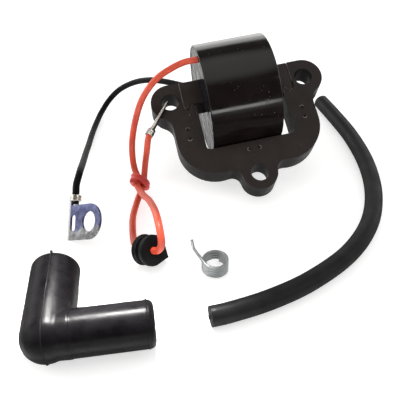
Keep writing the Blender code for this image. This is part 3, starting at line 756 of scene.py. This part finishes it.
# each interlock: its centre, the half distance between its two marks, and its direction
INTERLOCKS = [
    (24.3, 22.1, 2.1, 90),
    (-24.3, 22.1, 2.1, 90),
    (0.3, 10.4, 2.0, 0),
    (20.3, 32.6, 0.9, 0),
    (-20.6, 30.6, 1.1, 0),
]
MARK_R, SMALL_MARK_R, MARK_DEEP, BURR_R, SMALL_BURR_R = 0.8, 0.4, 0.3, 0.14, 0.09


def mark_places():
    """The centre and the outward angle of each half-round punch mark on the plate's face."""
    for x, y, half, angle in INTERLOCKS:
        turn = math.radians(angle)
        for side in (1, -1):
            along = (math.cos(turn) * side, math.sin(turn) * side)
            size = MARK_R if half > 1.5 else SMALL_MARK_R
            yield x + along[0] * half, y + along[1] * half, math.atan2(along[1], along[0]), size


def mark_cutter(x, y, angle, size):
    """A half-round pocket, steep on its outer side and ramped up on its inner side."""
    profile = [(0, MARK_DEEP), (size, MARK_DEEP), (size * 0.9, -MARK_DEEP), (0, -MARK_DEEP)]
    place = SEAT @ Matrix.Translation(Vector((x, y, 0)) * MM) @ Matrix.Rotation(angle, 4, "Z")
    lean = Matrix.Rotation(math.radians(14), 4, "Y")
    return lathe("mark", profile, place @ lean, 24)


def burrs():
    """Bright rims that the punch left round each mark, and at the corners of the seams."""
    pieces = []
    for index, (x, y, angle, size) in enumerate(mark_places()):
        points = []
        for i in range(13):
            a = angle + math.radians(-75 + 150 * i / 12)
            reach = size * 1.04
            points.append(on_plate(x + reach * math.cos(a), y + reach * math.sin(a), 0.02))
        thick = BURR_R if size == MARK_R else SMALL_BURR_R
        pieces.append(tube(f"mark_rim_{index:02d}", points, thick, 3))
    seam = SEAM_OUTLINE
    for side, first, last in ((-1, 0, 7), (-1, 8, 13), (1, 0, 4), (1, 6, 13)):
        points = [on_plate(side * x, y, 0.0) for x, y in seam[first:last]]
        pieces.append(tube(f"seam_rim_{side + 1}_{first:02d}", points, 0.08, 3))
    for piece in pieces:
        dress(piece, WORN, "coil", "core_coat")


TOOTH_AT, TOOTH_R = (22.0, 34.8), 1.55
SEAM_OUTLINE = [(23.55, 46.0), (23.55, 43.0), (23.55, 40.0), (23.55, 37.0)]
SEAM_OUTLINE += circle_arc(TOOTH_AT, TOOTH_R, 0, -180, 7)
SEAM_OUTLINE += [(19.6, 35.05), (18.9, 35.05)]


def core():
    plate = copy_of("core_plate", "core_stack")
    for mark in mark_places():
        plate = boolean(plate, mark_cutter(*mark))
    rounded(plate, 0.4, 3, 35)
    even_normals(dress(baked(plate, 70), CORE, "coil", "core_coat", "core_plate"))
    bar = rounded(copy_of("crossbar", "crossbar_stack"), 0.3, 3, 35)
    even_normals(dress(baked(bar, 70), CORE, "coil", "core_coat", "crossbar"))


# ---------------------------------------------------------------- drum

DRUM_Y, DRUM_Z, DRUM_R, DRUM_LEFT, DRUM_RIGHT = 37.3, -2.0, 22.7, -15.6, 13.3
TOWER_X, TOWER_R, TOWER_END, SOCKET_R = 4.0, 7.5, -32.59, 3.9
POTTING_RECESS = 0.3


def drum_place(y, z):
    """The matrix whose z axis runs along the drum, through the plate point (0, y, z)."""
    turn = Matrix(((0, 0, 1), (1, 0, 0), (0, 1, 0))).to_4x4()
    return SEAT @ Matrix.Translation(Vector((0, y, z)) * MM) @ turn


def drum():
    wall, lip = 1.0, 0.42
    outer = circle_arc((DRUM_R - lip, DRUM_RIGHT - lip), lip, 90, 0, 5)
    outer += circle_arc((DRUM_R - lip, DRUM_LEFT + lip), lip, 0, -90, 5)
    inside = DRUM_R - wall
    ring = [(inside, DRUM_RIGHT - 0.2), (inside + 0.2, DRUM_RIGHT), *outer]
    ring += [(inside + 0.2, DRUM_LEFT), (inside, DRUM_LEFT + 0.2), (inside, DRUM_RIGHT - 0.2)]
    case = lathe("drum_case", ring, drum_place(DRUM_Y, DRUM_Z), 180, 40)
    tower_at = SEAT @ Matrix.Translation(Vector((TOWER_X, DRUM_Y, 0)) * MM)
    flare = circle_arc((TOWER_R + 1.6, -25.6), 1.6, 90, 180, 6)
    tower = [(SOCKET_R, -22.0), (TOWER_R + 1.6, -22.0), *flare, (TOWER_R, TOWER_END + 0.5)]
    tower += [(TOWER_R - 0.5, TOWER_END), (SOCKET_R + 0.4, TOWER_END), (SOCKET_R, TOWER_END + 0.4)]
    tower += [(SOCKET_R, -22.0)]
    case = boolean(case, lathe("tower", tower, tower_at, 96, 40), "UNION")
    socket = [(0, -15.0), (SOCKET_R - 0.01, -15.0), (SOCKET_R - 0.01, -35.0), (0, -35.0)]
    case = boolean(case, lathe("socket", socket, tower_at, 96))
    hollow = [(0, 30), (inside - 0.01, 30), (inside - 0.01, -30), (0, -30)]
    case = boolean(case, lathe("hollow", hollow, drum_place(DRUM_Y, DRUM_Z), 180))
    dress(case, CASE, "coil", "case_plastic", "coil_case")


def resin_skins():
    """The resin's cast faces: slightly waved, and drawn up where they meet the case's wall."""
    edge, climb_from, climb = 21.55, 19.0, 0.27
    left, right = DRUM_LEFT + POTTING_RECESS, DRUM_RIGHT - POTTING_RECESS
    for name, face, side in (("resin_left", left, -1), ("resin_right", right, 1)):
        profile = [(r, face + side * 0.02) for r in (0.0, 3, 6, 9, 12, 14, 16, 17, 18, 18.8)]
        for r in (19.4, 19.9, 20.3, 20.7, 21.0, 21.3, edge):
            rise = ((r - climb_from) / (edge - climb_from)) ** 2 * climb
            profile.append((r, face + side * (0.02 + rise)))
        profile += [(edge, face - side * 0.3), (0.0, face - side * 0.3)]
        skin = lathe(name, profile, drum_place(DRUM_Y, DRUM_Z), 144, 60)
        for vert in skin.data.vertices:
            if (vert.co.z / MM - face) * side > -0.1:
                spot = Vector((vert.co.x, vert.co.y, face * MM)) / MM
                ripple = noise.noise(spot * 0.45 + Vector((7, 3, 1))) * 0.03
                wave = noise.noise(spot * 0.16) * 0.12 + ripple
                vert.co.z += side * wave * MM * min(1.0, (21.6 - spot.xy.length) / 2)
        dress(skin, POTTING, "coil", "potting_resin")


# ---------------------------------------------------------------- boot

BOOT_PLUG_ANGLE, BOOT_LEAD_ANGLE = math.radians(95.5), math.radians(8.8)
BOOT_CORNER = at(-45.85, 101.4, 8.15)
LEAD_NOSE, END_RING_BACK = 2.1, 2.3
RING_AT, LINE_LEAN = 7.2, -2  # the ring along the lead arm, and the mould line's lean in degrees


def boot_arm(name, angle, profile, steps=96):
    way = Vector((math.cos(angle), math.sin(angle), 0))
    return lathe(name, profile, place_of(BOOT_CORNER, way), steps)


def boot():
    """The right-angle boot: two moulded arms blended at the corner, the softened result of a remesh."""
    plug_r, plug_long, plug_bore, lip = 8.15, 28.0, 5.0, 1.3
    lead_r, lead_long, lead_bore = 7.5, 32.5, 3.3
    way = Vector((math.cos(BOOT_PLUG_ANGLE), math.sin(BOOT_PLUG_ANGLE), 0))
    lead_way = Vector((math.cos(BOOT_LEAD_ANGLE), math.sin(BOOT_LEAD_ANGLE), 0))
    mouth = circle_arc((plug_r - lip, plug_long - lip), lip, 90, 0, 6)
    body = boot_arm("boot_skin", BOOT_PLUG_ANGLE, [(0, plug_long), *mouth, (plug_r, 0), (0, 0)])
    nose = circle_arc((lead_r - LEAD_NOSE, lead_long - LEAD_NOSE), LEAD_NOSE, 90, 0, 8)
    arm = boot_arm("lead_arm", BOOT_LEAD_ANGLE, [(0, lead_long), *nose, (lead_r, 0), (0, 0)])
    body = boolean(body, arm, "UNION")
    mesh = bpy.data.meshes.new("corner")
    ball = bmesh.new()
    bmesh.ops.create_uvsphere(ball, u_segments=96, v_segments=48, radius=(plug_r - 0.005) * MM)
    ball.to_mesh(mesh)
    ball.free()
    corner = link("corner", mesh, place_of(BOOT_CORNER, way))
    body = boolean(body, corner, "UNION")
    remesh = body.modifiers.new("even", "REMESH")
    remesh.mode = "VOXEL"
    remesh.voxel_size = 0.3 * MM
    soften = body.modifiers.new("soften", "SMOOTH")
    soften.factor = 0.5
    soften.iterations = 14
    body = baked(body, 180)
    settle(body)
    mould_lines(body, way, lead_way)
    mould_flash(way, lead_way, plug_r, plug_long, lead_r, lead_long)
    tidy_bores(body, way, lead_way, (plug_bore, plug_long), (lead_bore, lead_long))


def mould_lines(body, way, lead_way):
    """The corner stands a little proud of the lead arm, up to the ring where the mould's parts met."""
    for vert in body.data.vertices:
        from_corner = vert.co - BOOT_CORNER
        along_lead = from_corner.dot(lead_way) / MM
        along_plug = from_corner.dot(way) / MM
        if along_lead > 2.0 and along_plug < 9.0:
            fade = max(0.0, min(1.0, (along_lead - 3.0) / 3.5))
            step = max(0.0, min(1.0, (RING_AT - along_lead) / 0.3))
            vert.co += vert.normal * 0.16 * fade * step * MM
        vert.co.z = max(vert.co.z, 0.00002)
    body.data.update()


def mould_flash(way, lead_way, plug_r, plug_long, lead_r, lead_long):
    """Thin fins of rubber where the mould closed, each ending in a small torn nib."""
    up = Vector((0, 0, 1))
    side = way.cross(up)
    lean = math.radians(LINE_LEAN)
    top = up * math.cos(lean) + side * math.sin(lean)
    reach = plug_r - 0.03
    line = [BOOT_CORNER + (way * (plug_long - 0.2 - 0.9 * i) + top * reach) * MM for i in range(31)]
    for i in range(1, 25):
        a = math.radians(150 * i / 24)
        line.append(BOOT_CORNER + (top * math.cos(a) - way * math.sin(a)) * reach * MM)
    pieces = [tube("flash_line", [p for p in line if p.z > 0.0003], 0.24, 4)]
    for index, (along, radius) in enumerate(((RING_AT, 0.17), (lead_long - END_RING_BACK, 0.2))):
        place = place_of(BOOT_CORNER, lead_way)
        ring = []
        for i in range(65):
            a = math.tau * i / 64
            spot = Vector((math.cos(a), math.sin(a), 0)) * (lead_r - 0.02) + Vector((0, 0, along))
            ring.append(place @ (spot * MM))
        pieces.append(tube(f"flash_ring_{index}", ring, radius, 3))
    across = lead_way.cross(up)
    end_ring = BOOT_CORNER + lead_way * (lead_long - END_RING_BACK) * MM
    nibs = [
        (line[0] + way * 0.2 * MM, (top + way * 0.5).normalized()),
        (end_ring + (up * 5.6 - across * 5.0) * MM, up - across),
        (end_ring + (across * 7.3 - up * 1.6) * MM, across),
        (BOOT_CORNER + (top * math.cos(2.1) - way * math.sin(2.1)) * reach * MM, -way - up * 0.4),
    ]
    for index, (spot, heading) in enumerate(nibs):
        cone = [(0, 0.36), (0.2, 0.3), (0.45, 0.0), (0.45, -0.5), (0, -0.5)]
        pieces.append(lathe(f"flash_nib_{index}", cone, place_of(spot, heading), 16))
    for piece in pieces:
        dress(piece, SEAM if piece.name == "flash_line" else BOOT, "boot", "rubber")


def tidy_bores(body, way, lead_way, plug, lead):
    """Cuts each arm's bore, with a small lead-in at its mouth."""
    for direction, (bore, long) in ((way, plug), (lead_way, lead)):
        profile = [(0, long + 3), (bore + 3.2, long + 3), (bore + 0.35, long + 0.02)]
        profile += [(bore, long - 0.45), (bore, 0.0), (0, 0.0)]
        body = boolean(body, lathe("bore", profile, place_of(BOOT_CORNER, direction), 72))
    shade(body, 60)
    dress(body, BOOT, "boot", "rubber", "plug_boot")


# ---------------------------------------------------------------- spring


def spring():
    """A close-wound spring with its wire's end drawn out as a leg."""
    cx, cy, radius, wire, pitch, turns = 5.3, 136.2, 4.3, 0.53, 1.1, 4.6
    end_angle = math.radians(212)
    steps = round(turns * 48)
    top = wire + pitch * turns
    points = []
    for i in range(steps + 1):
        share = 1 - i / steps
        angle = end_angle + share * turns * math.tau
        height = top - share * pitch * turns
        points.append((cx + radius * math.cos(angle), cy + radius * math.sin(angle), height))
    leg = [points[-1], (-1.8, 140.2, top + 0.05), (-2.4, 140.9, 6.6), (-2.9, 141.7, 9.2)]
    leg = smooth_route(leg, 0.35)
    points = [at(*p) for p in points] + [at(*p) for p in leg[1:]]
    coil = tube("spring_wire", points, wire, 5)
    dress(coil, SPRING, "spring", "spring_steel", "contact_spring")


core()
burrs()
drum()
resin_skins()
boot()
spring()

for node, material in (
    ("potting", POTTING),
    ("bobbin", BOBBIN),
    ("primary_winding", WOUND),
    ("secondary_winding", WOUND),
    ("layer_insulation", PAPER),
    ("outer_wrap", PAPER),
    ("ht_spike", TIN),
    ("primary_splice", TIN),
    ("ground_splice", TIN),
    ("lead_core_near", CARBON),
    ("lead_core_far", CARBON),
):
    NODES[node].data.materials.clear()
    NODES[node].data.materials.append(material)


# ---------------------------------------------------------------- floor and light


def floor():
    size = 1.6
    mesh = bpy.data.meshes.new("floor")
    shape = bmesh.new()
    bmesh.ops.create_grid(shape, x_segments=1, y_segments=1, size=size)
    shape.to_mesh(mesh)
    shape.free()
    sheet = link("floor", mesh)
    paper = Finish("floor_paper", (0.66, 0.66, 0.66), 0.75, specular=0.1)
    paper.mottle(6, 0.004, (0.67, 0.67, 0.67))
    paper.put("Emission Color", (1, 1, 1, 1))
    paper.put("Emission Strength", 0.62)
    sheet.data.materials.append(paper.material)


def softbox(name, place, target, size, power, beam=180):
    lamp = bpy.data.lights.new(name, "AREA")
    lamp.shape = "RECTANGLE"
    lamp.size, lamp.size_y = size
    lamp.energy = power
    lamp.spread = math.radians(beam)
    lamp.color = (1.0, 0.985, 0.965)
    made = bpy.data.objects.new(name, lamp)
    made.location = place
    made.rotation_euler = (Vector(target) - Vector(place)).to_track_quat("-Z", "Y").to_euler()
    SCENE.collection.objects.link(made)


def surroundings():
    """A dim room in front and overhead, with bright paper that rises behind and at the left."""
    world = bpy.data.worlds.new("studio")
    SCENE.world = world
    world.use_nodes = True
    nodes, links = world.node_tree.nodes, world.node_tree.links
    back = nodes["Background"]
    split = nodes.new("ShaderNodeSeparateXYZ")
    links.new(nodes.new("ShaderNodeTexCoord").outputs["Generated"], split.inputs["Vector"])

    def spread(axis, low, high, start, end):
        step = nodes.new("ShaderNodeMapRange")
        step.interpolation_type = "SMOOTHSTEP"
        for socket, value in zip(RANGE_SOCKETS, (low, high, start, end)):
            step.inputs[socket].default_value = value
        links.new(split.outputs[axis], step.inputs["Value"])
        return step.outputs["Result"]

    def combine(operation, first, second):
        step = nodes.new("ShaderNodeMath")
        step.operation = operation
        links.new(first, step.inputs[0])
        links.new(second, step.inputs[1])
        return step.outputs["Value"]

    paper = combine("MULTIPLY", spread("Y", 0.05, 0.45, 0.0, 2.3), spread("Z", 0.42, 0.56, 1.0, 0.0))
    side = combine("MULTIPLY", spread("X", -0.55, -0.8, 0.0, 1.3), spread("Z", 0.45, 0.62, 1.0, 0.0))
    horizon = combine("MULTIPLY", spread("Y", -0.75, -0.9, 0.0, 9.0), spread("Z", 0.06, 0.12, 1.0, 0.0))
    ceiling = spread("Z", 0.80, 0.97, 0.0, 1.25)
    room = spread("Y", -1.0, 0.2, 0.05, 0.14)
    total = combine("ADD", combine("ADD", paper, side), combine("ADD", horizon, ceiling))
    links.new(combine("ADD", total, room), back.inputs["Strength"])
    back.inputs["Color"].default_value = (1, 0.99, 0.98, 1)


floor()
surroundings()
softbox("left_box", (-0.52, -0.10, 0.42), (0, 0.02, 0.02), (0.40, 0.40), 1.0)
softbox("right_box", (0.50, -0.22, 0.40), (0, 0.02, 0.02), (0.36, 0.36), 0.8)
softbox("rear_light", (0.28, 0.80, 0.46), (0.03, 0.03, 0.02), (0.10, 0.10), 0.45)
softbox("boot_light", (-0.030, 0.0, 0.115), (-0.030, -0.064, 0.01), (0.05, 0.014), 0.10, 42)
SCENE.view_settings.view_transform = "Standard"
SCENE.view_settings.look = "None"
SCENE.view_settings.exposure = 0.0
